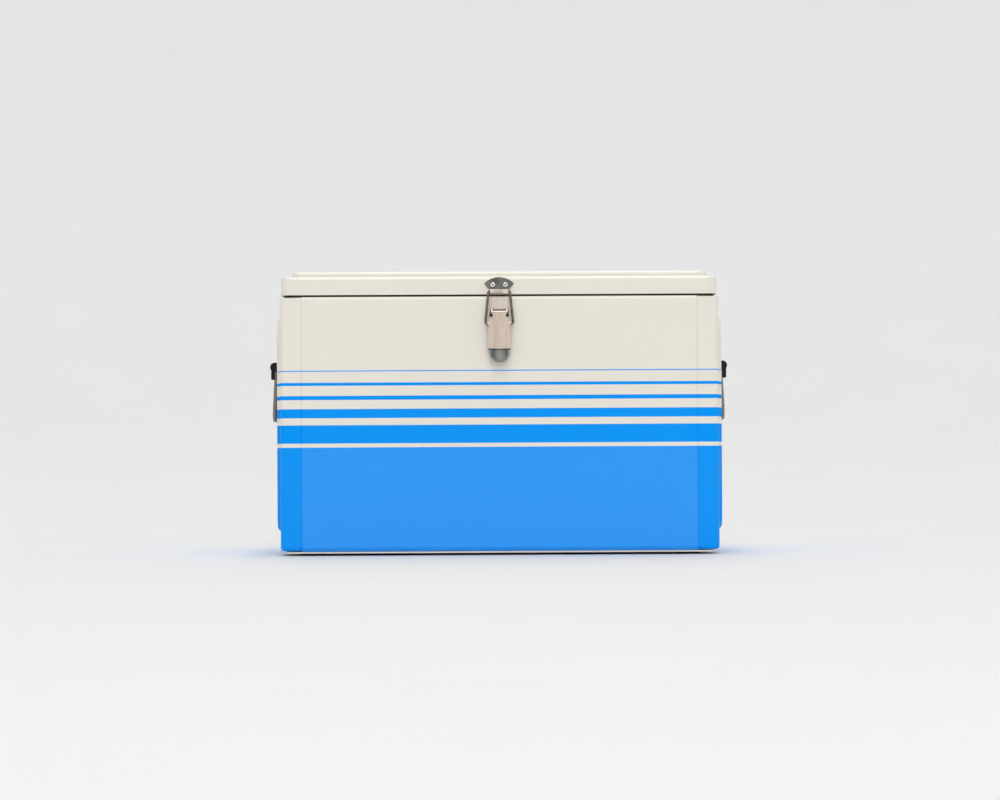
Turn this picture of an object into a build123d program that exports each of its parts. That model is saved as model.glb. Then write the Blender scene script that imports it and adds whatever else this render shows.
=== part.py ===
"""Retro picnic cooler chest: insulated sheet-steel body, hinged lid, draw latch and two wire bail handles.

Frame: millimetres, +Z up, the floor at z = 0, the front face towards -Y, the width along X.
"""

import os

from build123d import *

# Body box
BODY_HALF_X = 225.0
BODY_HALF_Y = 155.0
BODY_TOP = 265.5
SHEET = 0.8
BODY_CORNER = 6.0
BOTTOM_CURL = 5.0
TOP_CURL = 3.2
SEAM_X = 202.7
SEAM_OVERLAP = 2.7
CORNER_STRIP_TOP = 264.5

# Raised pad pressed in each end panel
PAD_RISE = 4.5
PAD_LOW = 23.5
PAD_HIGH = 245.0
PAD_HALF_Y = 131.0
PAD_CORNER = 18.0
PAD_DRAFT = 38.0
PAD_ROUND = 2.0

# Bottom pan and feet
FOOT_HEIGHT = 2.5
FOOT_RADIUS = 14.0
FOOT_ROUND = 0.8
FOOT_RECESS = 3.6
FOOT_X = 192.0
FOOT_Y = 122.0
PAN_HALF_X = 221.6
PAN_HALF_Y = 151.6
PAN_CORNER = 8.0
PAN_RIM = 1.6
PAN_RIM_WIDTH = 12.0

# Liner and foam
CAVITY_HALF_X = 199.0
CAVITY_HALF_Y = 129.0
CAVITY_FLOOR = 28.0
CAVITY_CORNER = 14.0
CAVITY_FLOOR_ROUND = 8.0
LINER_WALL = 2.0
LINER_FLANGE_TOP = 263.5
LINER_FLANGE = 1.5
LINER_LAND = 20.5
LINER_RIM_ROUND = 1.2
FOAM_GAP = 0.3

# Lid
LID_HALF_X = 224.0
LID_HALF_Y = 154.0
LID_LOW = 267.2
LID_RIM_TOP = 285.3
LID_TOP = 291.2
LID_CORNER = 12.0
LID_ROUND = 3.0
LID_PANEL_INSET = 11.0
LID_PANEL_CORNER = 9.0
LID_PANEL_ROUND = 2.6
LID_PANEL_FOOT = 1.2
LID_LINER_FLANGE_LOW = 268.4
LID_LINER_WALL = 1.5
LID_PLUG_GAP = 2.5
LID_PLUG_LOW = 258.0
GASKET_WIDTH = 9.0
GASKET_ROUND = 1.0
GASKET_INSET = 3.5

# Rear hinges
HINGE_SIDES = {"left": -130.0, "right": 130.0}
HINGE_HALF = 30.0
HINGE_KNUCKLES = 5
HINGE_KNUCKLE_GAP = 0.3
HINGE_LEAF = 1.2
HINGE_RADIUS = 3.2
HINGE_PIN = 1.5
HINGE_FIT = 0.05
HINGE_AXIS_Y = 158.7
HINGE_AXIS_Z = 266.35
HINGE_BODY_LOW = 236.0
HINGE_LID_HIGH = 281.0
HINGE_LEAF_GAP = 0.5
HINGE_PIN_HEAD = 2.6
HINGE_RIVET_X = 20.0
HINGE_RIVET_RISE = 7.0
HINGE_RIVET_STEP = 11.0

# Draw latch. Distances called OUT are measured forwards from the body's front face.
LATCH_SHEET = 1.2
STRIKE_TOP = 284.8
STRIKE_TIP_Z = 278.0
STRIKE_TIP_X = 15.2
STRIKE_LOW = 272.6
STRIKE_LOW_X = 10.2
STRIKE_LOW_CORNER = 1.0
HOOK_HALF = 9.2
HOOK_LOW = 267.9
HOOK_HIGH = 272.3
HOOK_ROUND = 0.9
WIRE_RADIUS = 1.2
WIRE_SIDE_GAP = 0.15
BAR_Z = 270.35
PIVOT_OUT = 4.8
PIVOT_Z = 248.9
LOOP_PIVOT_OUT = 4.5
LOOP_PIVOT_Z = 236.9
LOOP_FOOT_X = 14.4
LOOP_TOP_X = 11.0
LOOP_END_X = 8.8
LOOP_CORNER = 2.2
PIN_RADIUS = 1.25
PIN_FIT = 0.07
PIN_HEAD = 1.2
PIN_HEAD_RADIUS = 2.3
KNUCKLE_HALF = 6.8
EAR_INNER = 7.1
EAR_RADIUS = 3.1
BASE_HALF = 9.9
BASE_LOW = 203.5
BASE_HIGH = 264.2
BASE_CORNER = 2.0
LEVER_HALF = 11.3
LEVER_HIGH = 241.6
LEVER_LOW = 210.0
CHEEK_RADIUS = 3.0
BOSS_RADIUS = 2.6
BOSS_LENGTH = 0.7
TAB_HALF = 10.4
TAB_DROP = 13.5
TAB_TILT = 20.0
TAB_RIM = 2.0
TAB_DISH = 0.9

# Blind rivets
RIVET_HEAD = 2.6
RIVET_HEAD_HIGH = 1.1
RIVET_HEAD_ROUND = 0.9
RIVET_SHANK = 1.6
RIVET_STEM = 0.9
RIVET_STEM_DEEP = 2.6
RIVET_TAIL = 2.4
RIVET_TAIL_LONG = 3.5
STRIKE_RIVET_X = 6.4
STRIKE_RIVET_Z = 277.0
BASE_RIVETS = [(-5.0, 229.0), (5.0, 229.0), (0.0, 212.0)]

# Bail handles on the end panels
BAIL_RADIUS = 2.5
BAIL_OFFSET = 4.3
BAIL_Z = 196.0
BAIL_DROP = 55.0
BAIL_LEAN = 2.8
BAIL_HALF = 46.0
BAIL_TOP_BEND = 6.0
BAIL_BOTTOM_BEND = 13.0
BAIL_FIT = 0.06
BRACKET_Y = 57.7
BRACKET_HALF = 5.0
BRACKET_NOSE = 4.9
BRACKET_NOSE_OFFSET = 5.8
BRACKET_PLATE = 2.0
BRACKET_PLATE_HALF_Y = 5.5
BRACKET_PLATE_HALF_Z = 19.0
BRACKET_PLATE_CORNER = 3.0
BRACKET_RIVET_Z = 12.5
BRACKET_LUG = (6.2, 9.7)
BRACKET_LUG_DROP = 13.2
BRACKET_LUG_ROUND = 1.4
BRACKET_END_WALL = 1.6
BAIL_END_GAP = 0.2

# How far shapes run into each other where they join, and how near counts as touching
LAP = 1.0
CLOSE = 0.1

FRONT = -BODY_HALF_Y
PAD_FACE = BODY_HALF_X + PAD_RISE


def block(x, y, z):
    """Box between the low and high values given for each axis."""
    centre = [(low + high) / 2 for low, high in (x, y, z)]
    size = [high - low for low, high in (x, y, z)]
    return Pos(*centre) * Box(*size)


def slab(half_x, half_y, low, high, corner):
    """Upright block with round corners in plan."""
    return Pos(0, 0, low) * extrude(RectangleRounded(2 * half_x, 2 * half_y, corner), high - low)


def bar(start, end, radius):
    """Round bar from one point to another."""
    along = Vector(end) - Vector(start)
    place = Plane(origin=start, z_dir=along)
    return place * Cylinder(radius, along.length, align=(Align.CENTER, Align.CENTER, Align.MIN))


def top_edges(solid):
    """Edges round the highest flat face."""
    return solid.faces().sort_by(Axis.Z)[-1].edges()


def bottom_edges(solid):
    """Edges round the lowest flat face."""
    return solid.faces().sort_by(Axis.Z)[0].edges()


def out(distance):
    """Y of a place this far in front of the body's front face."""
    return FRONT - distance


def blind_rivet(point, outward, grip):
    """Domed head on the surface at point, a shank through grip of metal, and the tail that locks it."""
    low = (Align.CENTER, Align.CENTER, Align.MIN)
    head = Cylinder(RIVET_HEAD, RIVET_HEAD_HIGH, align=low)
    head = fillet(top_edges(head), RIVET_HEAD_ROUND)
    shank = Pos(0, 0, -grip) * Cylinder(RIVET_SHANK, grip, align=low)
    tail = Pos(0, 0, -grip - RIVET_TAIL_LONG) * Cylinder(RIVET_TAIL, RIVET_TAIL_LONG, align=low)
    return Plane(origin=point, z_dir=outward) * (head + shank + tail)


def stem_hole(point, outward):
    """Hole that the snapped-off stem leaves down the middle of a rivet's head."""
    hole = Cylinder(RIVET_STEM, RIVET_STEM_DEEP, align=(Align.CENTER, Align.CENTER, Align.MAX))
    return Plane(origin=point, z_dir=outward) * Pos(0, 0, RIVET_HEAD_HIGH) * hole


def curl(radius, centre_z, side):
    """Quarter-round edge rolled inwards: side is 1 along the front panel's top, -1 along its foot."""
    ring = Circle(radius) - Circle(radius - SHEET)
    quarter = Pos(-radius / 2, side * radius / 2) * Rectangle(radius, radius)
    return Pos(FRONT + radius, centre_z) * (ring & quarter)


def panel_section():
    """Front panel cut across: flat wall with its top and bottom edges rolled inwards."""
    low = FOOT_HEIGHT + PAN_RIM + BOTTOM_CURL
    high = BODY_TOP - TOP_CURL
    wall = Pos(FRONT + SHEET / 2, (low + high) / 2) * Rectangle(SHEET, high - low)
    return Plane.YZ * (wall + curl(BOTTOM_CURL, low, -1) + curl(TOP_CURL, high, 1))


def front_panel():
    """Sheet that covers the front between the two corner strips."""
    return Pos(-SEAM_X, 0, 0) * extrude(panel_section(), 2 * SEAM_X, dir=(1, 0, 0))


def end_form(inset, open_by):
    """Solid outline of the right-hand end, drawn in by inset; its open sides run on by open_by."""
    inner_x = SEAM_X - SEAM_OVERLAP - open_by
    low = FOOT_HEIGHT + PAN_RIM + SHEET + inset
    half_y = BODY_HALF_Y - SHEET - inset
    form = block((inner_x, BODY_HALF_X - inset), (-half_y, half_y), (low, CORNER_STRIP_TOP + open_by))
    form = fillet(form.edges().filter_by(Axis.Z).group_by(Axis.X)[-1], BODY_CORNER - inset)
    curled = [edge for edge in bottom_edges(form) if edge.center().X > inner_x + LAP]
    form = fillet(curled, BOTTOM_CURL - SHEET - inset)
    pad_plane = Plane(
        origin=(BODY_HALF_X - inset, 0, (PAD_LOW + PAD_HIGH) / 2), x_dir=(0, 1, 0), z_dir=(1, 0, 0)
    )
    outline = RectangleRounded(2 * (PAD_HALF_Y - inset), PAD_HIGH - PAD_LOW - 2 * inset, PAD_CORNER)
    pad = pad_plane * extrude(outline, PAD_RISE, taper=PAD_DRAFT)
    pad = fillet(pad.faces().sort_by(Axis.X)[-1].edges(), PAD_ROUND)
    return form + pad


def end_panel():
    """Right-hand end sheet: side wall with its raised pad, wrapped round both corners, curled in below."""
    low = FOOT_HEIGHT + PAN_RIM + SHEET
    reach_x = BODY_HALF_X - BOTTOM_CURL
    reach_y = BODY_HALF_Y - BOTTOM_CURL
    under_x = (SEAM_X - SEAM_OVERLAP - LAP, reach_x)
    under = block(under_x, (-reach_y, reach_y), (low - LAP, low + 2 * SHEET))
    return end_form(0, 0) - end_form(SHEET, LAP) - under


def bottom_pan():
    """Floor sheet with a doubled rim that shows as a thin line below the panels."""
    pan = slab(PAN_HALF_X, PAN_HALF_Y, FOOT_HEIGHT, FOOT_HEIGHT + PAN_RIM, PAN_CORNER)
    recess = slab(
        PAN_HALF_X - PAN_RIM_WIDTH,
        PAN_HALF_Y - PAN_RIM_WIDTH,
        FOOT_HEIGHT + PAN_RIM / 2,
        FOOT_HEIGHT + PAN_RIM,
        PAN_CORNER,
    )
    return pan - recess


def foot_places():
    """Centres of the four feet in plan."""
    return [(x, y) for x in (-FOOT_X, FOOT_X) for y in (-FOOT_Y, FOOT_Y)]


def foot_pad(x, y):
    """Low round rubber foot with a recess for its rivet head."""
    foot = Cylinder(FOOT_RADIUS, FOOT_HEIGHT, align=(Align.CENTER, Align.CENTER, Align.MIN))
    foot = fillet(bottom_edges(foot), FOOT_ROUND)
    recess = Cylinder(FOOT_RECESS, FOOT_HEIGHT / 2, align=(Align.CENTER, Align.CENTER, Align.MIN))
    return Pos(x, y, 0) * (foot - recess)


def foot_rivet_places():
    """Rivets up through the feet and the pan."""
    return [(x, y, FOOT_HEIGHT / 2) for x, y in foot_places()]


def body_liner():
    """Moulded tub with a flange over the foam and a round-edged land where the lid seals."""
    flange = slab(
        BODY_HALF_X - SHEET - FOAM_GAP,
        BODY_HALF_Y - 2 * SHEET - FOAM_GAP,
        LINER_FLANGE_TOP - LINER_FLANGE,
        LINER_FLANGE_TOP,
        BODY_CORNER - SHEET,
    )
    land = slab(
        CAVITY_HALF_X + LINER_LAND,
        CAVITY_HALF_Y + LINER_LAND,
        LINER_FLANGE_TOP - LINER_FLANGE,
        BODY_TOP,
        CAVITY_CORNER,
    )
    tub = slab(
        CAVITY_HALF_X + LINER_WALL,
        CAVITY_HALF_Y + LINER_WALL,
        CAVITY_FLOOR - LINER_WALL,
        LINER_FLANGE_TOP,
        CAVITY_CORNER + LINER_WALL,
    )
    tub = fillet(bottom_edges(tub), CAVITY_FLOOR_ROUND + LINER_WALL)
    cavity = slab(CAVITY_HALF_X, CAVITY_HALF_Y, CAVITY_FLOOR, BODY_TOP, CAVITY_CORNER)
    cavity = fillet(bottom_edges(cavity), CAVITY_FLOOR_ROUND)
    liner = flange + land + tub - cavity
    return fillet(top_edges(liner), LINER_RIM_ROUND)


def body_insulation(rivets):
    """Foam between the steel skin and the liner, with room for the rivets' tails."""
    foam = slab(
        BODY_HALF_X - SHEET - FOAM_GAP,
        BODY_HALF_Y - 2 * SHEET - FOAM_GAP,
        FOOT_HEIGHT + PAN_RIM + 2 * SHEET + FOAM_GAP,
        LINER_FLANGE_TOP - LINER_FLANGE - FOAM_GAP,
        BODY_CORNER,
    )
    foam = fillet(bottom_edges(foam), BOTTOM_CURL)
    room = LINER_WALL + FOAM_GAP
    tub = slab(
        CAVITY_HALF_X + room, CAVITY_HALF_Y + room, CAVITY_FLOOR - room, BODY_TOP, CAVITY_CORNER + room
    )
    tub = fillet(bottom_edges(tub), CAVITY_FLOOR_ROUND + room)
    return foam - tub - rivets


def lid_form(inset, low):
    """Solid outline of the lid, drawn in by inset: round-edged rim and the raised panel on it."""
    rim_top = LID_RIM_TOP - inset
    rim = slab(LID_HALF_X - inset, LID_HALF_Y - inset, low, rim_top, LID_CORNER - inset)
    rim = fillet(top_edges(rim), LID_ROUND - inset)
    panel_x = LID_HALF_X - LID_PANEL_INSET - inset
    panel_y = LID_HALF_Y - LID_PANEL_INSET - inset
    panel = slab(panel_x, panel_y, LID_LOW + LID_ROUND, LID_TOP - inset, LID_PANEL_CORNER - inset)
    panel = fillet(top_edges(panel), LID_PANEL_ROUND - inset)
    form = rim + panel
    foot = [
        edge
        for edge in form.edges().filter_by_position(Axis.Z, rim_top - CLOSE, rim_top + CLOSE)
        if abs(edge.center().X) < panel_x + CLOSE and abs(edge.center().Y) < panel_y + CLOSE
    ]
    return fillet(foot, LID_PANEL_FOOT)


def lid_shell(rivets):
    """Pressed steel lid skin with holes for its rivets."""
    return lid_form(0, LID_LOW) - lid_form(SHEET, LID_LOW - LAP) - rivets


def lid_plug(inset, low, high):
    """Block that fills the top of the cavity, drawn in by inset."""
    gap = LID_PLUG_GAP + inset
    return slab(CAVITY_HALF_X - gap, CAVITY_HALF_Y - gap, low, high, CAVITY_CORNER - gap)


def lid_liner():
    """Moulded inner lid: flange inside the skin and a shallow plug that drops into the cavity."""
    inset = SHEET + FOAM_GAP
    flange_top = LID_LINER_FLANGE_LOW + LID_LINER_WALL
    flange = slab(
        LID_HALF_X - inset, LID_HALF_Y - inset, LID_LINER_FLANGE_LOW, flange_top, LID_CORNER - inset
    )
    plug = lid_plug(0, LID_PLUG_LOW, flange_top)
    plug = fillet(bottom_edges(plug), LID_PANEL_ROUND)
    return flange + plug - lid_plug(LID_LINER_WALL, LID_PLUG_LOW + LID_LINER_WALL, flange_top)


def lid_insulation(rivets):
    """Foam inside the lid."""
    low = LID_PLUG_LOW + LID_LINER_WALL + FOAM_GAP
    flange_top = LID_LINER_FLANGE_LOW + LID_LINER_WALL
    rim_top = LID_RIM_TOP - SHEET - FOAM_GAP
    inset = SHEET + LID_ROUND
    panel = LID_PANEL_INSET + LID_PANEL_ROUND
    plug = lid_plug(LID_LINER_WALL + FOAM_GAP, low, rim_top)
    rim = slab(LID_HALF_X - inset, LID_HALF_Y - inset, flange_top + FOAM_GAP, rim_top, LID_CORNER)
    raised_top = LID_TOP - SHEET - FOAM_GAP
    raised = slab(LID_HALF_X - panel, LID_HALF_Y - panel, flange_top + FOAM_GAP, raised_top, LID_CORNER)
    return plug + rim + raised - rivets


def lid_gasket():
    """Dark rubber seal between the lid's flange and the body's land."""
    outer_x = LID_HALF_X - GASKET_INSET
    outer_y = LID_HALF_Y - GASKET_INSET
    ring = slab(outer_x, outer_y, BODY_TOP, LID_LINER_FLANGE_LOW, LID_CORNER)
    opening = slab(
        outer_x - GASKET_WIDTH, outer_y - GASKET_WIDTH, BODY_TOP, LID_LINER_FLANGE_LOW, LID_CORNER / 2
    )
    gasket = ring - opening
    return fillet(bottom_edges(gasket), GASKET_ROUND)


def knuckle_spans(first):
    """X ranges of every other knuckle of a hinge, starting at number first."""
    pitch = 2 * HINGE_HALF / HINGE_KNUCKLES
    trim = HINGE_KNUCKLE_GAP / 2
    starts = [-HINGE_HALF + pitch * number for number in range(first, HINGE_KNUCKLES, 2)]
    return [(start + trim, start + pitch - trim) for start in starts]


def knuckle(span):
    """Rolled barrel on the hinge line."""
    low, high = span
    return bar((low, HINGE_AXIS_Y, HINGE_AXIS_Z), (high, HINGE_AXIS_Y, HINGE_AXIS_Z), HINGE_RADIUS)


def hinge_bore():
    """Hole for the pin right through the barrels."""
    reach = HINGE_HALF + LAP
    return bar(
        (-reach, HINGE_AXIS_Y, HINGE_AXIS_Z), (reach, HINGE_AXIS_Y, HINGE_AXIS_Z), HINGE_PIN + HINGE_FIT
    )


def hinge_body_leaf():
    """Leaf on the body's back, with the odd knuckles."""
    face = (BODY_HALF_Y, BODY_HALF_Y + HINGE_LEAF)
    leaf_top = HINGE_AXIS_Z - HINGE_RADIUS - HINGE_LEAF_GAP
    leaf = block((-HINGE_HALF, HINGE_HALF), face, (HINGE_BODY_LOW, leaf_top))
    leaf = fillet(leaf.edges().filter_by(Axis.Y).group_by(Axis.Z)[0], HINGE_RADIUS)
    for span in knuckle_spans(0):
        leaf += block(span, face, (leaf_top - LAP, HINGE_AXIS_Z)) + knuckle(span)
    return leaf - hinge_bore()


def hinge_lid_leaf():
    """Leaf on the lid's back, with the even knuckles."""
    face = (LID_HALF_Y, LID_HALF_Y + HINGE_LEAF)
    barrel_top = HINGE_AXIS_Z + HINGE_RADIUS
    leaf = block((-HINGE_HALF, HINGE_HALF), face, (barrel_top - HINGE_LEAF, HINGE_LID_HIGH))
    leaf = fillet(leaf.edges().filter_by(Axis.Y).group_by(Axis.Z)[-1], HINGE_RADIUS)
    for span in knuckle_spans(1):
        bridge = block(span, (LID_HALF_Y, HINGE_AXIS_Y), (barrel_top - HINGE_LEAF, barrel_top))
        leaf += bridge + knuckle(span)
    return leaf - hinge_bore()


def hinge_pin():
    """Headed pin on the hinge line."""
    stops = (-HINGE_HALF, HINGE_HALF, HINGE_HALF + HINGE_LEAF)
    start, end, head_end = [(x, HINGE_AXIS_Y, HINGE_AXIS_Z) for x in stops]
    return bar(start, end, HINGE_PIN) + bar(end, head_end, HINGE_PIN_HEAD)


def hinge_body_rivet_places():
    """Rivets through each body leaf."""
    face = BODY_HALF_Y + HINGE_LEAF
    low_z = HINGE_BODY_LOW + HINGE_RIVET_RISE
    spots = [(-HINGE_RIVET_X, low_z), (HINGE_RIVET_X, low_z), (0, low_z + HINGE_RIVET_STEP)]
    return [(side + x, face, z) for side in HINGE_SIDES.values() for x, z in spots]


def hinge_lid_rivet_places():
    """Rivets through each lid leaf."""
    face = LID_HALF_Y + HINGE_LEAF
    z = (HINGE_AXIS_Z + HINGE_RADIUS + HINGE_LID_HIGH) / 2
    spots = (-HINGE_RIVET_X, HINGE_RIVET_X)
    return [(side + x, face, z) for side in HINGE_SIDES.values() for x in spots]


def strike_rivet_places():
    """Rivets through the strike plate."""
    return [(x, -LID_HALF_Y - LATCH_SHEET, STRIKE_RIVET_Z) for x in (-STRIKE_RIVET_X, STRIKE_RIVET_X)]


def base_rivet_places():
    """Rivets through the latch base, behind the shut lever."""
    return [(x, out(LATCH_SHEET), z) for x, z in BASE_RIVETS]


def strike_plate(rivets):
    """Fan-shaped plate on the lid's front with a hook turned up along its lower edge."""
    face = LID_HALF_Y - BODY_HALF_Y
    line = Polyline(
        (-STRIKE_TIP_X, STRIKE_TIP_Z),
        (-STRIKE_LOW_X, STRIKE_LOW),
        (STRIKE_LOW_X, STRIKE_LOW),
        (STRIKE_TIP_X, STRIKE_TIP_Z),
    )
    crown = ThreePointArc((STRIKE_TIP_X, STRIKE_TIP_Z), (0, STRIKE_TOP), (-STRIKE_TIP_X, STRIKE_TIP_Z))
    fan = make_face(line + crown)
    fan = fillet(fan.vertices(), STRIKE_LOW_CORNER)
    front = Plane(origin=(0, out(face), 0), x_dir=(1, 0, 0), z_dir=(0, -1, 0))
    plate = extrude(front * fan, LATCH_SHEET)
    trough = face + LATCH_SHEET
    lip = trough + 2 * WIRE_RADIUS + 2 * WIRE_SIDE_GAP
    wide = (-HOOK_HALF, HOOK_HALF)
    web = block(wide, (out(trough), out(face)), (HOOK_LOW, STRIKE_LOW + LAP))
    floor = block(wide, (out(lip + LATCH_SHEET), out(face)), (HOOK_LOW, HOOK_LOW + LATCH_SHEET))
    wall = block(wide, (out(lip + LATCH_SHEET), out(lip)), (HOOK_LOW, HOOK_HIGH))
    hook = web + floor + wall
    front_low = hook.edges().filter_by(Axis.X).group_by(Axis.Y)[0]
    hook = fillet(front_low.group_by(Axis.Z)[0], HOOK_ROUND)
    return plate + hook - rivets


def ear(span, radius, pivot_out, pivot_z, foot_out):
    """Cheek between two X values: a round end about a pivot, joined straight across to its plate."""
    low, high = span
    round_end = Pos(out(pivot_out), pivot_z) * Circle(radius)
    foot = Pos(out((pivot_out + foot_out) / 2), pivot_z) * Rectangle(abs(foot_out - pivot_out), 2 * radius)
    return Pos(low, 0, 0) * extrude(Plane.YZ * (round_end + foot), high - low, dir=(1, 0, 0))


def both_sides(solid):
    """The solid and its mirror image across the middle of the chest."""
    return solid + mirror(solid, Plane.YZ)


def lever_axis(half, radius):
    """Bar on the lever's pivot line."""
    return bar((-half, out(PIVOT_OUT), PIVOT_Z), (half, out(PIVOT_OUT), PIVOT_Z), radius)


def latch_base(rivets):
    """Plate on the body's front with a pair of ears for the lever pin."""
    plate = block((-BASE_HALF, BASE_HALF), (out(LATCH_SHEET), FRONT), (BASE_LOW, BASE_HIGH))
    plate = fillet(plate.edges().filter_by(Axis.Y), BASE_CORNER)
    span = (EAR_INNER, EAR_INNER + LATCH_SHEET)
    ears = both_sides(ear(span, EAR_RADIUS, PIVOT_OUT, PIVOT_Z, LATCH_SHEET / 2))
    return plate + ears - lever_axis(BASE_HALF, PIN_RADIUS) - rivets


def lever_pin():
    """Headed pin held in the base's ears."""
    ear_outer = EAR_INNER + LATCH_SHEET
    head_line = [(x, out(PIVOT_OUT), PIVOT_Z) for x in (ear_outer, ear_outer + PIN_HEAD)]
    return lever_axis(ear_outer, PIN_RADIUS) + both_sides(bar(*head_line, PIN_HEAD_RADIUS))


def latch_lever():
    """Over-centre lever: rolled knuckle, channel-shaped blade, bosses for the wire, dished thumb tab."""
    knuckle_radius = PIN_RADIUS + PIN_FIT + LATCH_SHEET
    face = PIVOT_OUT + knuckle_radius
    sheet = (out(face), out(face - LATCH_SHEET))
    blade = block((-LEVER_HALF, LEVER_HALF), sheet, (LEVER_LOW, LEVER_HIGH))
    blade += block((-KNUCKLE_HALF, KNUCKLE_HALF), sheet, (LEVER_HIGH - LAP, PIVOT_Z))
    blade += lever_axis(KNUCKLE_HALF, knuckle_radius)
    cheek = (LEVER_HALF - LATCH_SHEET, LEVER_HALF)
    flange = block(cheek, (out(face), out(face - 2 * LATCH_SHEET)), (LEVER_LOW, LEVER_HIGH))
    lobe = ear(cheek, CHEEK_RADIUS, LOOP_PIVOT_OUT, LOOP_PIVOT_Z, face)
    boss_line = [(x, out(LOOP_PIVOT_OUT), LOOP_PIVOT_Z) for x in (LEVER_HALF, LEVER_HALF + BOSS_LENGTH)]
    boss = bar(*boss_line, BOSS_RADIUS)
    blade += both_sides(flange + lobe + boss) + thumb_tab(face - LATCH_SHEET / 2)
    wire_hole_half = LEVER_HALF + BOSS_LENGTH + LAP
    wire_hole = bar(
        (-wire_hole_half, out(LOOP_PIVOT_OUT), LOOP_PIVOT_Z),
        (wire_hole_half, out(LOOP_PIVOT_OUT), LOOP_PIVOT_Z),
        WIRE_RADIUS + PIN_FIT,
    )
    return blade - lever_axis(KNUCKLE_HALF + LAP, PIN_RADIUS + PIN_FIT) - wire_hole


def thumb_tab(middle_out):
    """Round-ended tab that leans out from the blade's lower edge, with a shallow dish pressed in it."""
    straight = TAB_DROP - TAB_HALF
    whole = Pos(0, -TAB_DROP / 2) * Rectangle(2 * TAB_HALF, TAB_DROP)
    round_end = Pos(0, -straight) * Circle(TAB_HALF) & whole
    outline = round_end + Pos(0, -straight / 2) * Rectangle(2 * TAB_HALF, straight)
    tab = Pos(0, 0, -LATCH_SHEET / 2) * extrude(outline, LATCH_SHEET)
    dish_radius = TAB_HALF - TAB_RIM
    sphere_radius = (dish_radius**2 + TAB_DISH**2) / (2 * TAB_DISH)
    centre = Pos(0, -straight - TAB_RIM / 2, LATCH_SHEET / 2 + TAB_DISH - sphere_radius)
    ball = centre * Sphere(sphere_radius)
    above = Pos(0, -straight, LATCH_SHEET / 2 + TAB_DISH) * Box(2 * TAB_HALF, 2 * TAB_HALF, 2 * TAB_DISH)
    below = Pos(0, -straight, -LATCH_SHEET / 2) * Box(2 * TAB_HALF, 2 * TAB_HALF, 2 * TAB_DISH)
    hollow = Pos(0, 0, -LATCH_SHEET) * ball & below
    lean = Rot(90 - TAB_TILT, 0, 0)
    return Pos(0, out(middle_out), LEVER_LOW) * lean * (tab + (ball & above) - hollow)


def wire_loop():
    """Bent wire: a bar that sits in the lid's hook, two legs and two feet turned in through the lever."""
    bar_out = LID_HALF_Y - BODY_HALF_Y + LATCH_SHEET + WIRE_SIDE_GAP + WIRE_RADIUS
    rise = Vector(0, out(bar_out) - out(LOOP_PIVOT_OUT), BAR_Z - LOOP_PIVOT_Z)
    across = Vector(1, 0, 0)
    start = Vector(0, out(LOOP_PIVOT_OUT), LOOP_PIVOT_Z)
    corners = [(LOOP_END_X, 0), (LOOP_FOOT_X, 0), (LOOP_TOP_X, 1)]
    half = [start + across * x + rise * share for x, share in corners]
    other = [start - across * x + rise * share for x, share in reversed(corners)]
    path = FilletPolyline(*half, *other, radius=LOOP_CORNER)
    section = Plane(origin=half[0], z_dir=across) * Circle(WIRE_RADIUS)
    return sweep(section, path)


def bail():
    """Right-hand handle: a steel rod bent to a U with its ends turned out into the brackets."""
    end_y = BRACKET_Y + BRACKET_HALF - BRACKET_END_WALL - BAIL_END_GAP
    points = [(-end_y, 0), (-BAIL_HALF, 0), (-BAIL_HALF, -BAIL_DROP)]
    points += [(-y, z) for y, z in reversed(points)]
    hang = Pos(PAD_FACE + BAIL_OFFSET, 0, BAIL_Z) * Rot(0, -BAIL_LEAN, 0)
    bends = [BAIL_TOP_BEND, BAIL_BOTTOM_BEND, BAIL_BOTTOM_BEND, BAIL_TOP_BEND]
    path = FilletPolyline(*[(0, y, z) for y, z in points], radius=bends)
    section = Plane(origin=(0, -end_y, 0), z_dir=(0, 1, 0)) * Circle(BAIL_RADIUS)
    return hang * sweep(section, path)


def bracket_rivet_places():
    """Rivets through the right-hand brackets' plates."""
    heights = (BAIL_Z - BRACKET_RIVET_Z, BAIL_Z + BRACKET_RIVET_Z)
    return [(PAD_FACE + BRACKET_PLATE, y, z) for y in (-BRACKET_Y, BRACKET_Y) for z in heights]


def handle_bracket(y, rivets):
    """Right-hand bracket: plate on the raised pad, arm with a blind hole for the bail, round nose, lug."""
    x = PAD_FACE
    plate_y = (y - BRACKET_PLATE_HALF_Y, y + BRACKET_PLATE_HALF_Y)
    plate_z = (BAIL_Z - BRACKET_PLATE_HALF_Z, BAIL_Z + BRACKET_PLATE_HALF_Z)
    plate = block((x, x + BRACKET_PLATE), plate_y, plate_z)
    plate = fillet(plate.edges().filter_by(Axis.X), BRACKET_PLATE_CORNER)
    width = (y - BRACKET_HALF, y + BRACKET_HALF)
    nose_x = x + BRACKET_NOSE_OFFSET
    arm = block((x + LAP, nose_x), width, (BAIL_Z - BRACKET_NOSE, BAIL_Z + BRACKET_NOSE))
    nose = bar((nose_x, width[0], BAIL_Z), (nose_x, width[1], BAIL_Z), BRACKET_NOSE)
    lug_low, lug_high = BRACKET_LUG
    lug = block((x + lug_low, x + lug_high), width, (BAIL_Z - BRACKET_LUG_DROP, BAIL_Z))
    lug = fillet(lug.edges().filter_by(Axis.Y).group_by(Axis.Z)[0], BRACKET_LUG_ROUND)
    side = 1 if y > 0 else -1
    bore_ends = (BRACKET_Y - BRACKET_PLATE_HALF_Y - LAP, BRACKET_Y + BRACKET_HALF - BRACKET_END_WALL)
    bore_line = [(x + BAIL_OFFSET, side * end, BAIL_Z) for end in bore_ends]
    bore = bar(*bore_line, BAIL_RADIUS + BAIL_FIT)
    return plate + arm + nose + lug - bore - rivets


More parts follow.
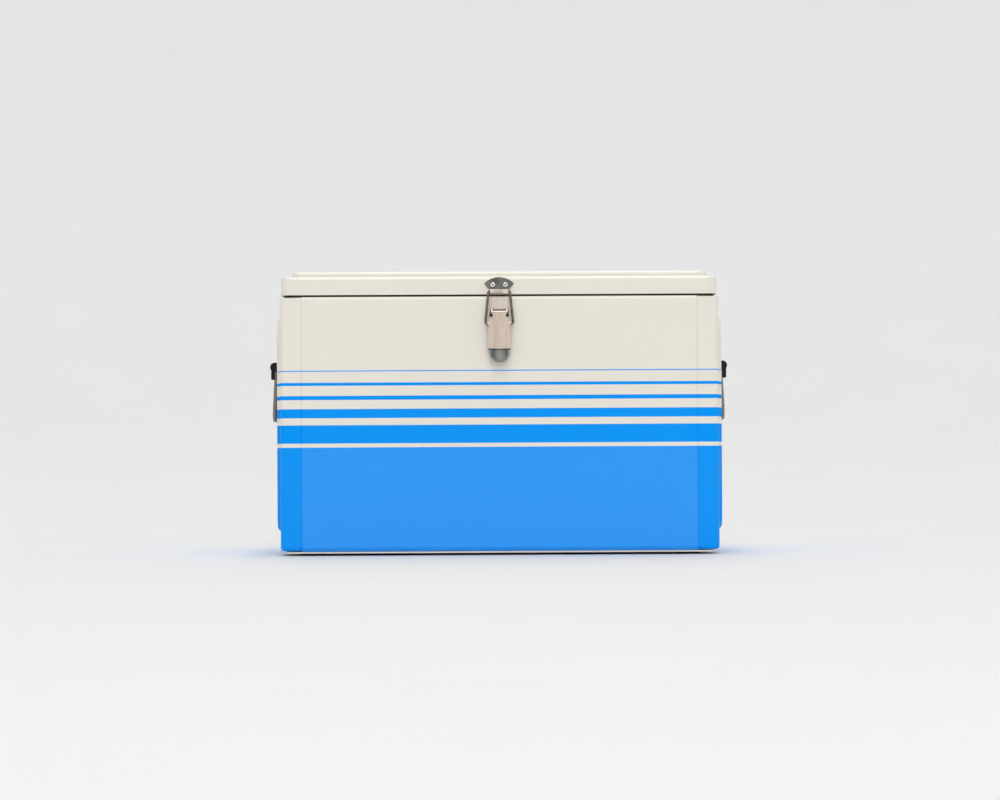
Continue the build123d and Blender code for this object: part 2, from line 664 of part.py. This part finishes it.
def with_mirrored(rivets):
    """Rivets of the right-hand end with those of the left."""
    return group([rivets, mirror(rivets, Plane.YZ)])


def group(solids):
    """Several separate solids as one piece list."""
    return Compound(children=[solid for shape in solids for solid in shape.solids()])


def build():
    """Every sub-part by name."""
    rows = {
        "strike_rivets": (strike_rivet_places(), (0, -1, 0), LATCH_SHEET + SHEET),
        "latch_base_rivets": (base_rivet_places(), (0, -1, 0), LATCH_SHEET + SHEET),
        "hinge_body_rivets": (hinge_body_rivet_places(), (0, 1, 0), HINGE_LEAF + SHEET),
        "hinge_lid_rivets": (hinge_lid_rivet_places(), (0, 1, 0), HINGE_LEAF + SHEET),
        "foot_rivets": (foot_rivet_places(), (0, 0, -1), (FOOT_HEIGHT + PAN_RIM) / 2),
        "handle_bracket_rivets": (bracket_rivet_places(), (1, 0, 0), BRACKET_PLATE + SHEET),
    }
    whole = {}
    opened = {}
    for name, (places, outward, grip) in rows.items():
        whole[name] = group(blind_rivet(place, outward, grip) for place in places)
        opened[name] = whole[name] - group(stem_hole(place, outward) for place in places)
    right_rivets = whole["handle_bracket_rivets"]
    whole["handle_bracket_rivets"] = with_mirrored(right_rivets)
    opened["handle_bracket_rivets"] = with_mirrored(opened["handle_bracket_rivets"])
    body_rivets = ("latch_base_rivets", "hinge_body_rivets", "handle_bracket_rivets", "foot_rivets")
    lid_rivets = group(whole[name] for name in ("strike_rivets", "hinge_lid_rivets"))

    front = front_panel()
    right_end = end_panel() - right_rivets
    parts = {
        "front_panel": front - whole["latch_base_rivets"],
        "back_panel": mirror(front, Plane.XZ) - whole["hinge_body_rivets"],
        "end_panel_right": right_end,
        "end_panel_left": mirror(right_end, Plane.YZ),
        "bottom_pan": bottom_pan() - whole["foot_rivets"],
        "foot_pads": group(foot_pad(x, y) for x, y in foot_places()) - whole["foot_rivets"],
        "body_insulation": body_insulation(group(whole[name] for name in body_rivets)),
        "body_liner": body_liner(),
        "lid_shell": lid_shell(lid_rivets),
        "lid_insulation": lid_insulation(lid_rivets),
        "lid_liner": lid_liner(),
        "lid_gasket": lid_gasket(),
        "strike_plate": strike_plate(whole["strike_rivets"]),
        "latch_base": latch_base(whole["latch_base_rivets"]),
        "lever_pin": lever_pin(),
        "latch_lever": latch_lever(),
        "wire_loop": wire_loop(),
        "handle_bail_right": bail(),
        "handle_bail_left": mirror(bail(), Plane.YZ),
        **opened,
    }
    for side, x in HINGE_SIDES.items():
        parts[f"hinge_body_leaf_{side}"] = Pos(x, 0, 0) * hinge_body_leaf() - whole["hinge_body_rivets"]
        parts[f"hinge_lid_leaf_{side}"] = Pos(x, 0, 0) * hinge_lid_leaf() - whole["hinge_lid_rivets"]
        parts[f"hinge_pin_{side}"] = Pos(x, 0, 0) * hinge_pin()
    for name, y in (("front", -BRACKET_Y), ("rear", BRACKET_Y)):
        bracket = handle_bracket(y, right_rivets)
        parts[f"handle_bracket_right_{name}"] = bracket
        parts[f"handle_bracket_left_{name}"] = mirror(bracket, Plane.YZ)
    return parts


os.makedirs("parts", exist_ok=True)
for name, part in build().items():
    part.label = name
    export_step(part, f"parts/{name}.step")
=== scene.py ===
import math

import bmesh
import bpy
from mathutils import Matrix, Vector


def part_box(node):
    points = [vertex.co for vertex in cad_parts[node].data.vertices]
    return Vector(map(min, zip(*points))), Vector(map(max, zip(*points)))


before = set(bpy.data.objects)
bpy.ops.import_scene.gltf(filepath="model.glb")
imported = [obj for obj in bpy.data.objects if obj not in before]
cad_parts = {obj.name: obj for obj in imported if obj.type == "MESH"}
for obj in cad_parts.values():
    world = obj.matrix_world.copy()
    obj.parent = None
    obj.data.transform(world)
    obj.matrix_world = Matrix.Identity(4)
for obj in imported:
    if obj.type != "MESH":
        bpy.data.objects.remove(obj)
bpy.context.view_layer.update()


# ---------------------------------------------------------------------------
# Body sheets: front, back and two ends, pressed from 0.8 mm steel. The end sheets wrap round the
# corners and the front and back sheets lap over them, spot welded. The body is sprayed gloss cream,
# then masked and sprayed with blue bands that run level round all four sides, and stoved.
# ---------------------------------------------------------------------------
MM = 0.001
CREAM = (0.86, 0.82, 0.725)
BLUE = (0.001, 0.325, 0.985)
BANDS = [(0.0, 110.0), (115.0, 133.5), (140.6, 150.1), (158.9, 163.7), (174.0, 176.6), (188.3, 189.6)]
NOISE_LOW = 0.2
NOISE_HIGH = 0.8
ENAMEL_ROUGHNESS = 0.24
ENAMEL_GLOSS = 0.04
CLOUD_SCALE = 5.0
CLOUD_DARK = 0.985
CLOUD_LIGHT = 1.01
POLISH_SCALE = 9.0
POLISH_SWING = 0.02
SMOOTH_DETAIL = 1.0
PEEL_SCALE = 380.0
PEEL_DEPTH = 0.03 * MM
FINE_DETAIL = 2.0
COAT = 1.0
END_COAT = 0.18
COAT_ROUGHNESS = 0.11
THIN_SHINE = 0.12
LAP_PAINTED_SHADE = 0.72
LAP_WIDTH = 0.9 * MM


def start_material(name, color, metallic, roughness, gloss=0.5):
    """A new material with plain values on its shader, as (material, node tree, shader)."""
    material = bpy.data.materials.new(name)
    material.use_nodes = True
    shader = material.node_tree.nodes["Principled BSDF"]
    shader.inputs["Base Color"].default_value = (*color, 1)
    shader.inputs["Metallic"].default_value = metallic
    shader.inputs["Roughness"].default_value = roughness
    shader.inputs["Specular IOR Level"].default_value = gloss
    return material, material.node_tree, shader


def feed(tree, socket, value):
    """Links a socket to the one it is given, or sets it to a plain value."""
    if isinstance(value, bpy.types.NodeSocket):
        tree.links.new(value, socket)
    else:
        socket.default_value = value


def add_node(tree, kind, settings=None, **inputs):
    """A node with its settings, and its inputs fed by name."""
    made = tree.nodes.new(kind)
    for key, value in (settings or {}).items():
        setattr(made, key, value)
    for key, value in inputs.items():
        feed(tree, made.inputs[key.replace("_", " ")], value)
    return made


def arithmetic(tree, operation, *values):
    """One step of arithmetic on sockets or plain values."""
    made = add_node(tree, "ShaderNodeMath", {"operation": operation})
    for value, socket in zip(values, made.inputs):
        feed(tree, socket, value)
    return made.outputs[0]


def object_place(tree):
    """Where a point is on the object, in metres."""
    return add_node(tree, "ShaderNodeTexCoord").outputs["Object"]


def place_along(tree, axis):
    """Where a point is along one axis of the object."""
    return add_node(tree, "ShaderNodeSeparateXYZ", Vector=object_place(tree)).outputs[axis]


def noise(tree, scale, detail=3.0, stretch=(1, 1, 1)):
    """Noise over the object; a small stretch along an axis draws it out into grain that way."""
    mapped = add_node(tree, "ShaderNodeMapping", Vector=object_place(tree), Scale=stretch)
    made = add_node(tree, "ShaderNodeTexNoise", Vector=mapped.outputs[0], Scale=scale, Detail=detail)
    return made.outputs["Fac"]


def eased(tree, value, start, end, low=0.0, high=1.0):
    """The value carried from between start and end to between low and high, eased at both."""
    made = add_node(
        tree,
        "ShaderNodeMapRange",
        {"interpolation_type": "SMOOTHSTEP"},
        Value=value,
        From_Min=start,
        From_Max=end,
        To_Min=low,
        To_Max=high,
    )
    return made.outputs[0]


def spread(tree, value, low, high):
    """Noise carried from its usual middle range to between low and high."""
    return eased(tree, value, NOISE_LOW, NOISE_HIGH, low, high)


def tint(tree, shader, color, amount):
    """The colour, a plain one or a socket, darkened or lightened by amount."""
    made = add_node(tree, "ShaderNodeVectorMath", {"operation": "SCALE"}, Scale=amount)
    feed(tree, made.inputs[0], color)
    tree.links.new(made.outputs[0], shader.inputs["Base Color"])


def relief(tree, shader, height, depth):
    """Fine relief this deep, in metres."""
    made = add_node(tree, "ShaderNodeBump", Height=height, Distance=depth)
    tree.links.new(made.outputs["Normal"], shader.inputs["Normal"])
    tree.links.new(made.outputs["Normal"], shader.inputs["Coat Normal"])


def near(tree, axis, place, width):
    """1 at this place along an axis, mirrored to both sides of the middle, and 0 beyond width."""
    side = arithmetic(tree, "ABSOLUTE", place_along(tree, axis))
    far = arithmetic(tree, "SUBTRACT", side, place)
    away = arithmetic(tree, "ABSOLUTE", far)
    made = add_node(tree, "ShaderNodeMapRange", Value=away, From_Max=width, To_Min=1.0, To_Max=0.0)
    return made.outputs[0]


def times(tree, first, second):
    """Two values multiplied."""
    return arithmetic(tree, "MULTIPLY", first, second)


def height_colors(tree, low, high, stops, blend="CONSTANT"):
    """Colours by height on the object: stops are (height, colour), between low and high."""
    share = add_node(
        tree, "ShaderNodeMapRange", Value=place_along(tree, "Z"), From_Min=low, From_Max=high
    )
    ramp = add_node(tree, "ShaderNodeValToRGB", Fac=share.outputs[0])
    ramp.color_ramp.interpolation = blend
    elements = ramp.color_ramp.elements
    elements.remove(elements[1])
    elements[0].position = 0.0
    elements[0].color = (*stops[0][1], 1)
    for place, color in stops[1:]:
        elements.new((place - low) / (high - low)).color = (*color, 1)
    return ramp.outputs["Color"]


def enamel(name, banded, coat, lap=None):
    """Stoved enamel: faint cloudiness, a polish that varies a little, and fine orange peel.

    Banded, the clear gloss is thin over the narrow bands. With lap, the distance to either side at
    which another sheet's edge laps over it, painted shade darkens a thin line there, where the step's
    shadow falls.
    """
    material, tree, shader = start_material(name, CREAM, 0.0, ENAMEL_ROUGHNESS, ENAMEL_GLOSS)
    color = CREAM
    if banded:
        stops = [(0.0, BLUE)]
        for (_, band_top), (next_low, _) in zip(BANDS, BANDS[1:]):
            stops += [(band_top * MM, CREAM), (next_low * MM, BLUE)]
        stops.append((BANDS[-1][1] * MM, CREAM))
        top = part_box("front_panel")[1].z
        color = height_colors(tree, 0.0, top, stops)
    tone = spread(tree, noise(tree, CLOUD_SCALE, SMOOTH_DETAIL), CLOUD_DARK, CLOUD_LIGHT)
    # Painted shade: a thin darker line where another sheet's edge laps over this one.
    if lap:
        line = near(tree, "X", lap, LAP_WIDTH)
        shade = add_node(tree, "ShaderNodeMapRange", Value=line, To_Min=1.0, To_Max=LAP_PAINTED_SHADE)
        tone = times(tree, tone, shade.outputs[0])
    tint(tree, shader, color, tone)
    polish = noise(tree, POLISH_SCALE, SMOOTH_DETAIL)
    rough = spread(tree, polish, ENAMEL_ROUGHNESS - POLISH_SWING, ENAMEL_ROUGHNESS + POLISH_SWING)
    tree.links.new(rough, shader.inputs["Roughness"])
    relief(tree, shader, noise(tree, PEEL_SCALE, FINE_DETAIL), PEEL_DEPTH)
    shader.inputs["Coat Weight"].default_value = coat
    shader.inputs["Coat Roughness"].default_value = COAT_ROUGHNESS
    if banded:
        full = (1.0, 1.0, 1.0)
        thin = (THIN_SHINE, THIN_SHINE, THIN_SHINE)
        shine_stops = [
            (0.0, full),
            (BANDS[0][1] * MM, full),
            (BANDS[1][0] * MM, thin),
            (BANDS[-1][1] * MM, thin),
            (top, full),
        ]
        shine = height_colors(tree, 0.0, top, shine_stops, "LINEAR")
        level = add_node(tree, "ShaderNodeMapRange", Value=shine, To_Max=coat)
        tree.links.new(level.outputs[0], shader.inputs["Coat Weight"])
    return material


def dress(node, material):
    """Gives a CAD node its finish."""
    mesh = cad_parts[node].data
    mesh.materials.clear()
    mesh.materials.append(material)


front_enamel = enamel("banded_enamel", True, COAT)
lap_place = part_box("front_panel")[1].x
# The end sheets carry a thin line of painted shade where the front and back sheets lap over them.
end_enamel = enamel("banded_enamel_ends", True, END_COAT, lap_place)
for broad, end in (("front_panel", "end_panel_left"), ("back_panel", "end_panel_right")):
    dress(broad, front_enamel)
    dress(end, end_enamel)


# ---------------------------------------------------------------------------
# Bottom pan: flat steel floor sheet with a doubled rim, sprayed cream before the panels went on.
# Its rim shows as a thin pale line below the blue.
# ---------------------------------------------------------------------------
cream_enamel = enamel("cream_enamel", False, COAT)
dress("bottom_pan", cream_enamel)


# ---------------------------------------------------------------------------
# Feet: four low pads moulded in black rubber.
# Each is held by one rivet up through the pan.
# ---------------------------------------------------------------------------
FOOT_RUBBER = (0.018, 0.018, 0.018)
MOTTLE_BREADTH = 12
SHEEN_BREADTH = 5
SHEEN_SWING = 0.06


def moulded(name, color, roughness, grain, depth, mottle=0.05, gloss=0.5):
    """Moulded plastic, rubber or foam: slight mottling, uneven sheen and a fine grain.

    The mottling and the sheen are broader than the grain.
    """
    material, tree, shader = start_material(name, color, 0.0, roughness, gloss)
    tone = spread(tree, noise(tree, grain / MOTTLE_BREADTH), 1 - mottle, 1 + mottle)
    tint(tree, shader, color, tone)
    sheen = noise(tree, grain / SHEEN_BREADTH)
    rough = spread(tree, sheen, roughness - SHEEN_SWING, roughness + SHEEN_SWING)
    tree.links.new(rough, shader.inputs["Roughness"])
    relief(tree, shader, noise(tree, grain, FINE_DETAIL), depth)
    return material


dress("foot_pads", moulded("foot_rubber", FOOT_RUBBER, roughness=0.7, grain=900.0, depth=0.08 * MM))


# ---------------------------------------------------------------------------
# Blind rivets: domed aluminium heads with the open hole that the snapped-off stem leaves.
# They hold the feet, latch base, strike plate, hinges and handle brackets.
# ---------------------------------------------------------------------------
ALUMINIUM = (0.86, 0.86, 0.84)
STEM_HOLE = 4.0 * MM
HOLLOW_DARK = 0.45
HOLLOW_CLEAR = 0.8
EVEN = (1, 1, 1)
STREAK_DETAIL = 4.0
STREAK_DARK = 0.88
STREAK_LIGHT = 1.07
STREAK_SMOOTHER = 0.05
STREAK_ROUGHER = 0.07
STREAK_DEPTH = 0.02 * MM


def painted_hollow_shade(tree, width, darkest, alone):
    """Painted shade: 1 on open faces, falling to darkest in holes and corners narrower than width.

    Alone, only the piece's own faces close it in; otherwise its neighbours do too.
    """
    around = add_node(tree, "ShaderNodeAmbientOcclusion", {"only_local": alone}, Distance=width)
    made = add_node(
        tree,
        "ShaderNodeMapRange",
        Value=around.outputs["AO"],
        From_Min=HOLLOW_DARK,
        From_Max=HOLLOW_CLEAR,
        To_Min=darkest,
    )
    return made.outputs[0]


def streaked(tree, shader, grain, roughness):
    """Drawn streaks in a metal's polish and relief."""
    rough = spread(tree, grain, roughness - STREAK_SMOOTHER, roughness + STREAK_ROUGHER)
    tree.links.new(rough, shader.inputs["Roughness"])
    relief(tree, shader, grain, STREAK_DEPTH)


def worked_metal(name, color, roughness, streaks, stretch, shaded_hollows=0.0):
    """Bare or plated metal with fine drawn streaks in its tone, polish and relief.

    Painted shade darkens its own holes and corners narrower than the given width.
    """
    material, tree, shader = start_material(name, color, 1.0, roughness)
    grain = noise(tree, streaks, STREAK_DETAIL, stretch)
    tone = spread(tree, grain, STREAK_DARK, STREAK_LIGHT)
    if shaded_hollows:
        tone = times(tree, tone, painted_hollow_shade(tree, shaded_hollows, darkest=0.0, alone=True))
    tint(tree, shader, color, tone)
    streaked(tree, shader, grain, roughness)
    return material


# The rivets' stem holes are darkened with painted shade.
aluminium = worked_metal(
    "rivet_aluminium", ALUMINIUM, roughness=0.24, streaks=300.0, stretch=EVEN, shaded_hollows=STEM_HOLE
)
for held in ("foot", "latch_base", "strike", "hinge_body", "hinge_lid", "handle_bracket"):
    dress(f"{held}_rivets", aluminium)


# ---------------------------------------------------------------------------
# Foam: rigid yellowish foam, poured between the steel skins and the plastic liners.
# It fills the body and the lid, and none of it shows once the chest is together.
# ---------------------------------------------------------------------------
FOAM = (0.80, 0.70, 0.46)
foam = moulded("foam", FOAM, roughness=0.9, grain=500.0, depth=0.3 * MM)
dress("body_insulation", foam)
dress("lid_insulation", foam)


# ---------------------------------------------------------------------------
# Liner and inner lid: off-white plastic, vacuum formed, satin, with softly rounded corners.
# The liner's flange lies on the foam and its land takes the lid's seal.
# ---------------------------------------------------------------------------
LINER = (0.72, 0.73, 0.72)
liner_plastic = moulded(
    "liner_plastic", LINER, roughness=0.38, grain=700.0, depth=0.04 * MM, mottle=0.012
)
dress("body_liner", liner_plastic)
dress("lid_liner", liner_plastic)


# ---------------------------------------------------------------------------
# Lid: one pressed steel skin with a rounded rim and a raised centre.
# It's sprayed plain cream, in the same enamel as the pan.
# ---------------------------------------------------------------------------
dress("lid_shell", cream_enamel)


# ---------------------------------------------------------------------------
# Lid seal: a ring of brownish-black rubber.
# It's bonded to the inner lid's flange.
# ---------------------------------------------------------------------------
SEAL_RUBBER = (0.040, 0.028, 0.019)
seal_rubber = moulded("seal_rubber", SEAL_RUBBER, roughness=0.6, grain=800.0, depth=0.05 * MM)
dress("lid_gasket", seal_rubber)


# ---------------------------------------------------------------------------
# Rear hinges: two zinc-plated steel butt hinges. Their barrels are rolled from the leaves and turn
# on a headed pin, and blind rivets hold the leaves to the body and the lid.
# ---------------------------------------------------------------------------
ZINC = (0.60, 0.60, 0.58)
EDGE_ANGLE = math.radians(38)
EDGE_STEPS = 2
SHEET_EDGE = 0.2 * MM
SIDEWAYS = (0.1, 1, 1)


def soften(node, width):
    """Breaks a pressed or moulded part's sharp edges."""
    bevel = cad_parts[node].modifiers.new("broken_edges", "BEVEL")
    bevel.width = width
    bevel.segments = EDGE_STEPS
    bevel.limit_method = "ANGLE"
    bevel.angle_limit = EDGE_ANGLE
    bevel.harden_normals = True


zinc = worked_metal("hinge_steel", ZINC, roughness=0.34, streaks=260.0, stretch=SIDEWAYS)
for side in ("left", "right"):
    for part in ("body_leaf", "lid_leaf", "pin"):
        dress(f"hinge_{part}_{side}", zinc)
    soften(f"hinge_body_leaf_{side}", SHEET_EDGE)
    soften(f"hinge_lid_leaf_{side}", SHEET_EDGE)


# ---------------------------------------------------------------------------
# Strike plate: a fan of plated sheet steel riveted to the lid. Its lower edge is turned up into the
# hook that the latch's wire pulls on; the hook is painted a lighter tone than the dull grey fan, a
# painted reflection of the pale floor below it.
# ---------------------------------------------------------------------------
FAN_GREY = (0.158, 0.158, 0.14)
HOOK_PAINTED_REFLECTION = (0.78, 0.69, 0.59)
STRIKE_ROUGHNESS = 0.35
HOOK_TALL = 4.4 * MM
HOOK_BLEND = 0.4 * MM
BRUSH_SCALE = 420.0
BRUSH_DARK = 0.86
BRUSH_LIGHT = 1.10
TARNISH_SCALE = 110.0
TARNISH = 0.03
FAN_TARNISH = 0.3
CORNER_SHADE_WIDTH = 3.0 * MM
CORNER_SHADE_DARKEST = 0.1


def plated(name, low, high, stops, roughness, stretch, tarnish=TARNISH):
    """Plated steel whose tone changes with height: brushed one way, tarnished, and painted shade
    darkens its corners.
    """
    material, tree, shader = start_material(name, stops[0][1], 1.0, roughness)
    grain = noise(tree, BRUSH_SCALE, STREAK_DETAIL, stretch)
    cloud = spread(tree, noise(tree, TARNISH_SCALE, FINE_DETAIL), 1 - tarnish, 1 + tarnish)
    streaks = spread(tree, grain, BRUSH_DARK, BRUSH_LIGHT)
    # Painted shade where the part's corners and its neighbours close in.
    corner_shade = painted_hollow_shade(tree, CORNER_SHADE_WIDTH, CORNER_SHADE_DARKEST, alone=False)
    tone = times(tree, times(tree, streaks, cloud), corner_shade)
    tint(tree, shader, height_colors(tree, low, high, stops, "LINEAR"), tone)
    streaked(tree, shader, grain, roughness)
    return material


strike_low, strike_high = (corner.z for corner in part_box("strike_plate"))
hook_top = strike_low + HOOK_TALL
# The hook's lighter tone is a painted reflection.
strike_stops = [
    (strike_low, HOOK_PAINTED_REFLECTION),
    (hook_top, HOOK_PAINTED_REFLECTION),
    (hook_top + HOOK_BLEND, FAN_GREY),
]
strike_steel = plated(
    "strike_steel", strike_low, strike_high, strike_stops, STRIKE_ROUGHNESS, SIDEWAYS, FAN_TARNISH
)
dress("strike_plate", strike_steel)
soften("strike_plate", SHEET_EDGE)


# ---------------------------------------------------------------------------
# Latch base, lever and pin: the base is riveted to the body and its ears carry the lever on a dark
# steel pin. The lever is a pressed channel, satin plated, and its dished thumb tab is polished, in a
# dark tone that is a painted reflection. A dark line at the tab's fold is painted shade in the crease,
# and painted shade darkens the top of the lever's knuckle and a narrow band of the base below the pin,
# where shade falls between the parts.
# ---------------------------------------------------------------------------
TAB_PAINTED_REFLECTION = (0.12, 0.123, 0.12)
FOLD_PAINTED_SHADE = (0.05, 0.05, 0.05)
PIN_DARK = (0.10, 0.09, 0.08)
PAINTED_KNUCKLE_SHADE = (0.03, 0.024, 0.018)
LEVER_PLATED = (0.645, 0.54, 0.45)
BASE_PLATED = (0.655, 0.58, 0.505)
LATCH_ROUGHNESS = 0.32
UPRIGHT = (1, 1, 0.06)
LEVER_EDGE = 0.15 * MM
FOLD_HEIGHT = 12.9 * MM
POLISH_TO_FOLD = 0.5 * MM
FOLD_BELOW = 0.1 * MM
FOLD_ABOVE = 1.1 * MM
FOLD_TO_PLATED = 1.6 * MM
KNUCKLE_UNSHADED_TO = 0.8 * MM
KNUCKLE_SHADE_FROM = 1.2 * MM
BASE_UNSHADED_BELOW = 5.0 * MM
BASE_SHADE_FROM = 4.4 * MM
BASE_SHADE_TO = 2.4 * MM
BASE_UNSHADED_ABOVE = 1.8 * MM
lever_low, lever_high = (corner.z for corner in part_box("latch_lever"))
fold = lever_low + FOLD_HEIGHT
pivot = sum(corner.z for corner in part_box("lever_pin")) / 2
lever_stops = [
    # The thumb tab's dark tone is a painted reflection.
    (lever_low, TAB_PAINTED_REFLECTION),
    (fold - POLISH_TO_FOLD, TAB_PAINTED_REFLECTION),
    # Painted shade in the crease at the tab's fold.
    (fold - FOLD_BELOW, FOLD_PAINTED_SHADE),
    (fold + FOLD_ABOVE, FOLD_PAINTED_SHADE),
    (fold + FOLD_TO_PLATED, LEVER_PLATED),
    # From here the knuckle blends into painted shade over its top.
    (pivot + KNUCKLE_UNSHADED_TO, LEVER_PLATED),
    (pivot + KNUCKLE_SHADE_FROM, PAINTED_KNUCKLE_SHADE),
]
base_low, base_high = (corner.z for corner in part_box("latch_base"))
base_stops = [
    (base_low, BASE_PLATED),
    # Painted shade on a narrow band of the base below the pin.
    (pivot - BASE_UNSHADED_BELOW, BASE_PLATED),
    (pivot - BASE_SHADE_FROM, PAINTED_KNUCKLE_SHADE),
    (pivot - BASE_SHADE_TO, PAINTED_KNUCKLE_SHADE),
    (pivot - BASE_UNSHADED_ABOVE, BASE_PLATED),
]
lever_steel = plated("lever_steel", lever_low, lever_high, lever_stops, LATCH_ROUGHNESS, UPRIGHT)
latch_steel = plated("latch_steel", base_low, base_high, base_stops, LATCH_ROUGHNESS, UPRIGHT)
dress("latch_lever", lever_steel)
dress("latch_base", latch_steel)
soften("latch_lever", LEVER_EDGE)
soften("latch_base", SHEET_EDGE)
dress("lever_pin", worked_metal("pin_steel", PIN_DARK, roughness=0.4, streaks=300.0, stretch=SIDEWAYS))


# ---------------------------------------------------------------------------
# Wire loop: spring wire bent to a frame, its feet sprung into the lever's bosses and its bar in the
# strike's hook.
# ---------------------------------------------------------------------------
WIRE = (0.19, 0.16, 0.125)
ALONG_WIRE = (1, 1, 0.2)
dress("wire_loop", worked_metal("loop_wire", WIRE, roughness=0.26, streaks=300.0, stretch=ALONG_WIRE))


# ---------------------------------------------------------------------------
# Bail handles: steel rod bent to a U, its ends sprung into blind holes in two moulded black
# brackets on each end panel.
# ---------------------------------------------------------------------------
ROD = (0.25, 0.225, 0.19)
BLACK = (0.005, 0.005, 0.005)
BRACKET_EDGE = 0.35 * MM
rod_steel = worked_metal("bail_steel", ROD, roughness=0.28, streaks=200.0, stretch=EVEN)
bracket_black = moulded(
    "bracket_black", BLACK, roughness=0.4, grain=1100.0, depth=0.05 * MM, gloss=0.22
)
for side in ("left", "right"):
    dress(f"handle_bail_{side}", rod_steel)
    for end in ("front", "rear"):
        dress(f"handle_bracket_{side}_{end}", bracket_black)
        soften(f"handle_bracket_{side}_{end}", BRACKET_EDGE)


# ---------------------------------------------------------------------------
# Studio: a round pale floor that rises gently all round, under an even pale sky. A brighter band
# of sky runs overhead from front to back and draws the light lines along the rolled edges.
# ---------------------------------------------------------------------------
PAPER = (0.79, 0.79, 0.79)
FLOOR_RADIUS = 5.0
INNER_RADIUS = FLOOR_RADIUS / 4
RISE_RADIUS = 2.0
RISE_SLOPE = math.radians(26)
RIM_RADIUS = 11.0
RISE_STEPS = 10
ROUND_STEPS = 96
SKY = 0.49
BAND_SKY = 2.75
BAND_HALF = 0.13
BAND_LOW = 0.3
BAND_EDGE = 0.12
FILL_PLACE = (0.6, -4.3, 2.0)
FILL_WIDTH = 2.0
FILL_HEIGHT = 1.2
FILL_POWER = 15.0


def studio_floor():
    """Shallow dish turned about the upright axis: flat floor, curved foot and a gentle slope."""
    profile = [(0.0, 0.0), (INNER_RADIUS, 0.0), (FLOOR_RADIUS, 0.0)]
    for step in range(1, RISE_STEPS + 1):
        turn = RISE_SLOPE * step / RISE_STEPS
        radius = FLOOR_RADIUS + RISE_RADIUS * math.sin(turn)
        profile.append((radius, RISE_RADIUS * (1 - math.cos(turn))))
    foot_radius, foot_height = profile[-1]
    profile.append((RIM_RADIUS, foot_height + (RIM_RADIUS - foot_radius) * math.tan(RISE_SLOPE)))
    shape = bmesh.new()
    line = [shape.verts.new((radius, 0.0, height)) for radius, height in profile]
    edges = [shape.edges.new(pair) for pair in zip(line, line[1:])]
    bmesh.ops.spin(
        shape,
        geom=line + edges,
        axis=(0, 0, 1),
        cent=(0, 0, 0),
        angle=2 * math.pi,
        steps=ROUND_STEPS,
    )
    bmesh.ops.remove_doubles(shape, verts=shape.verts, dist=MM)
    bmesh.ops.recalc_face_normals(shape, faces=shape.faces)
    mesh = bpy.data.meshes.new("studio_floor")
    shape.to_mesh(mesh)
    shape.free()
    mesh.polygons.foreach_set("use_smooth", [True] * len(mesh.polygons))
    floor = bpy.data.objects.new("studio_floor", mesh)
    bpy.context.scene.collection.objects.link(floor)
    paper = moulded("studio_paper", PAPER, roughness=0.9, grain=40.0, depth=0.1 * MM, mottle=0.006)
    mesh.materials.append(paper)


def studio_sky():
    """Even sky with a brighter band overhead, from front to back."""
    sky = bpy.data.worlds.new("studio_sky")
    sky.use_nodes = True
    tree = sky.node_tree
    way = add_node(tree, "ShaderNodeTexCoord").outputs["Generated"]
    axes = add_node(tree, "ShaderNodeSeparateXYZ", Vector=way)
    sideways = arithmetic(tree, "ABSOLUTE", axes.outputs["X"])
    within = eased(tree, sideways, BAND_HALF + BAND_EDGE, BAND_HALF)
    above = eased(tree, axes.outputs["Z"], BAND_LOW, BAND_LOW + BAND_EDGE)
    both = times(tree, within, above)
    light = add_node(tree, "ShaderNodeMapRange", Value=both, To_Min=SKY, To_Max=BAND_SKY)
    background = tree.nodes["Background"]
    tree.links.new(light.outputs[0], background.inputs["Strength"])
    background.inputs["Color"].default_value = (1.0, 1.0, 1.0, 1)
    bpy.context.scene.world = sky


def front_fill():
    """Large soft light above and behind the camera."""
    light = bpy.data.lights.new("front_fill", "AREA")
    light.shape = "RECTANGLE"
    light.size = FILL_WIDTH
    light.size_y = FILL_HEIGHT
    light.energy = FILL_POWER
    lamp = bpy.data.objects.new("front_fill", light)
    bpy.context.scene.collection.objects.link(lamp)
    lamp.location = FILL_PLACE
    lamp.rotation_euler = (-lamp.location).to_track_quat("-Z", "Y").to_euler()


studio_floor()
studio_sky()
front_fill()
bpy.context.scene.view_settings.view_transform = "Standard"


# ---------------------------------------------------------------------------
# Camera: a long lens low in front of the chest, so that its sides hardly converge.
# It's turned half a degree off square, tipped up by one degree and rolled a little.
# ---------------------------------------------------------------------------
CAMERA_DISTANCE = 3.5
CAMERA_HEIGHT = 0.097
CAMERA_TURN = math.radians(0.5)
CAMERA_ROLL = math.radians(0.3)
CAMERA_TIP = math.radians(1.012)
FRAME_AT_FRONT = 1.024
SENSOR = 36.0
FAR_LIMIT = 40.0
lens = bpy.data.cameras.new("camera")
lens.sensor_width = SENSOR
lens.lens = SENSOR * CAMERA_DISTANCE / FRAME_AT_FRONT
lens.clip_end = FAR_LIMIT
camera = bpy.data.objects.new("camera", lens)
bpy.context.scene.collection.objects.link(camera)
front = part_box("front_panel")[0].y
camera.location = (
    -CAMERA_DISTANCE * math.sin(CAMERA_TURN),
    front - CAMERA_DISTANCE * math.cos(CAMERA_TURN),
    CAMERA_HEIGHT,
)
camera.rotation_euler = (math.pi / 2 + CAMERA_TIP, CAMERA_ROLL, -CAMERA_TURN)
bpy.context.scene.camera = camera
